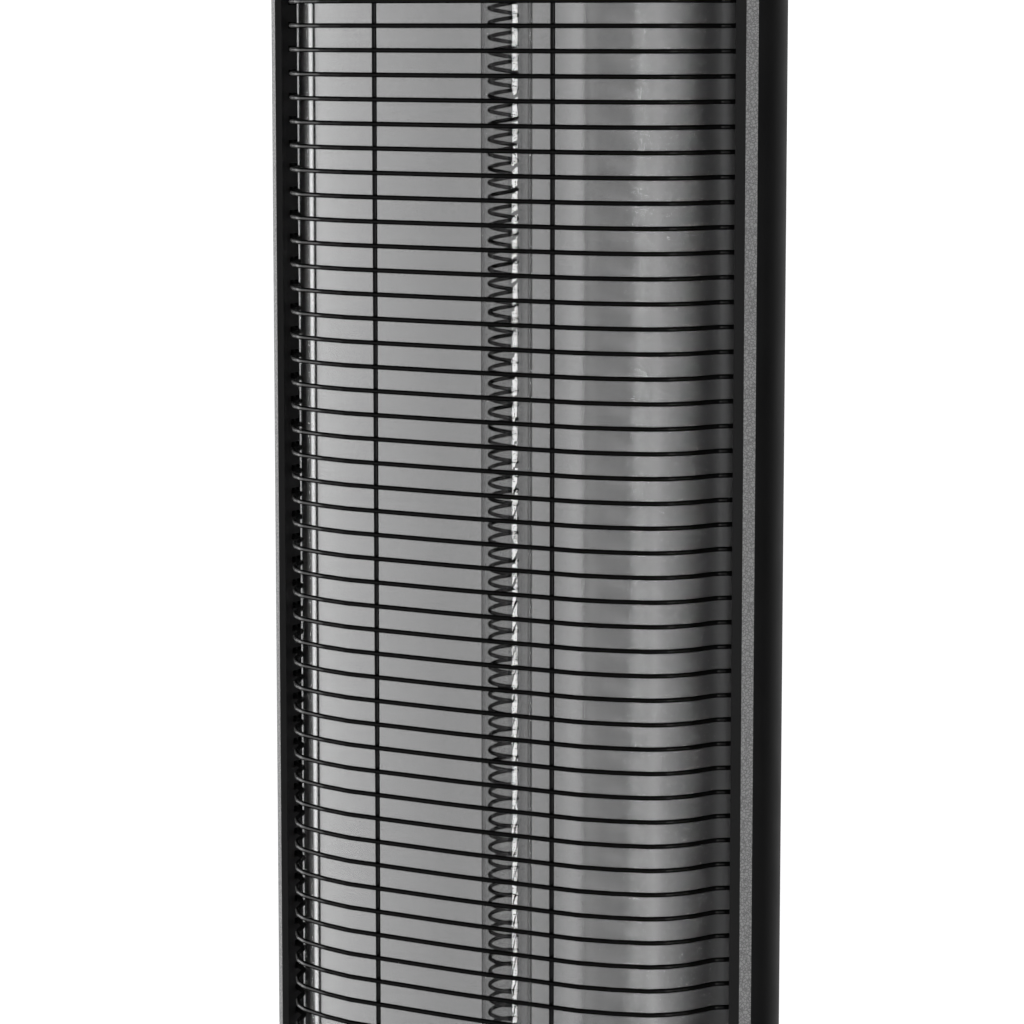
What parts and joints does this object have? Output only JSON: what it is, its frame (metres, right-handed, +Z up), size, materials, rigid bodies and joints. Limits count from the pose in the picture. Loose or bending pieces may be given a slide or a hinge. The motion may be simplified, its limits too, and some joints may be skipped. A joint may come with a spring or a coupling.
{
  "type": "carbon heater",
  "caption": "Upright carbon heater: slim swivelling column with a bulged wire guard, spiral carbon lamp and aluminium reflector on a round weighted base.",
  "frame": {"origin": "centre of the round base's footprint on the floor", "axes": "+Z up, the guard faces -Y, +X to the right of someone facing the guard"},
  "size_m": [0.29, 0.29, 0.897],
  "materials": {
    "black_plastic": "satin black moulding",
    "gloss_black": "polished black moulding",
    "grained_strip": "grey with a fine leather-like grain",
    "housing_black": "satin black",
    "wire_black": "black enamel",
    "reflector_aluminium": "satin rolled sheet",
    "quartz": "clear fused quartz",
    "carbon": "woven carbon strand",
    "ceramic_white": "unglazed steatite",
    "steel": "zinc plated",
    "steel_dark": "blackened",
    "iron": "cast, painted",
    "rubber_black": "matt",
    "polymer_white": "natural acetal",
    "polymer_black": "moulded",
    "sleeve_white": "silicone sleeve",
    "sleeve_black": "smooth sleeve",
    "lens_red": "translucent red"
  },
  "bodies": {
    "base": {"base_shell": "gloss_black", "motor_screws": "steel", "base_plate": "steel_dark", "base_screws": "steel", "rubber_feet": "rubber_black", "ballast_weight": "iron", "pivot_bush": "polymer_white", "plunger_guide": "polymer_black", "tip_switch": "polymer_black", "terminal_block_base": "polymer_white", "supply_lead": "sleeve_black", "cord_inlet": "rubber_black", "swing_motor": "steel", "plunger_spring": "steel"},
    "column": {"rear_housing": "housing_black", "top_cap": "gloss_black", "column_base": "black_plastic", "bezel_right": "black_plastic", "bezel_left": "black_plastic", "trim_strip_right": "grained_strip", "trim_strip_left": "grained_strip", "frame_rails": "steel", "top_cover": "gloss_black", "control_panel": "gloss_black", "guard_wires": "wire_black", "guard_uprights": "wire_black", "guard_edge_rods": "wire_black", "reflector": "reflector_aluminium", "reflector_end_top": "reflector_aluminium", "reflector_end_bottom": "reflector_aluminium", "reflector_brackets": "steel", "chassis_plate": "steel", "housing_spacers": "steel", "housing_screws": "steel_dark", "quartz_tube": "quartz", "carbon_coil": "carbon", "coil_tails": "steel", "lamp_end_bottom": "ceramic_white", "lamp_end_top": "ceramic_white", "lamp_holder_bottom": "steel", "lamp_holder_top": "steel", "thermal_cutout": "polymer_black", "rotary_switch": "polymer_black", "switch_nut": "steel", "swing_switch": "polymer_black", "swing_bracket": "steel", "indicator_lens": "lens_red", "terminal_block_column": "polymer_white", "lamp_leads": "sleeve_white", "switch_leads": "sleeve_black", "turntable": "steel_dark", "turntable_screws": "steel", "sector_gear": "polymer_white", "pivot_clip": "steel"},
    "pinion": {"drive_pinion": "polymer_white", "drive_shaft": "steel"},
    "plunger": {"tip_plunger": "polymer_black"},
    "knob": {"selector_knob": "gloss_black", "selector_shaft": "steel"},
    "button": {"swing_button": "polymer_black"}
  },
  "joints": [
    {"name": "column_swivel", "type": "hinge", "parent": "base", "child": "column", "pos_m": [0, 0, 0.05], "axis": [0, 0, 1], "range_deg": [-35, 35]},
    {"name": "pinion_spin", "type": "hinge", "parent": "base", "child": "pinion", "pos_m": [0, 0.066, 0.031], "axis": [0, 0, 1], "range_deg": [-160, 160]},
    {"name": "plunger_slide", "type": "slide", "parent": "base", "child": "plunger", "axis": [0, 0, -1], "range_m": [0, 0.004], "stiffness_N_per_m": 60, "springref_m": 0.01},
    {"name": "knob_turn", "type": "hinge", "parent": "column", "child": "knob", "pos_m": [0, -0.06, 0.148], "axis": [0, 1, 0], "range_deg": [0, 120]},
    {"name": "button_press", "type": "slide", "parent": "column", "child": "button", "axis": [0, 1, 0], "range_m": [0, 0.0025], "stiffness_N_per_m": 400, "springref_m": -0.002}
  ],
  "couplings": [
    {"joint": "pinion_spin", "follows": "column_swivel", "ratio": -4.5}
  ]
}
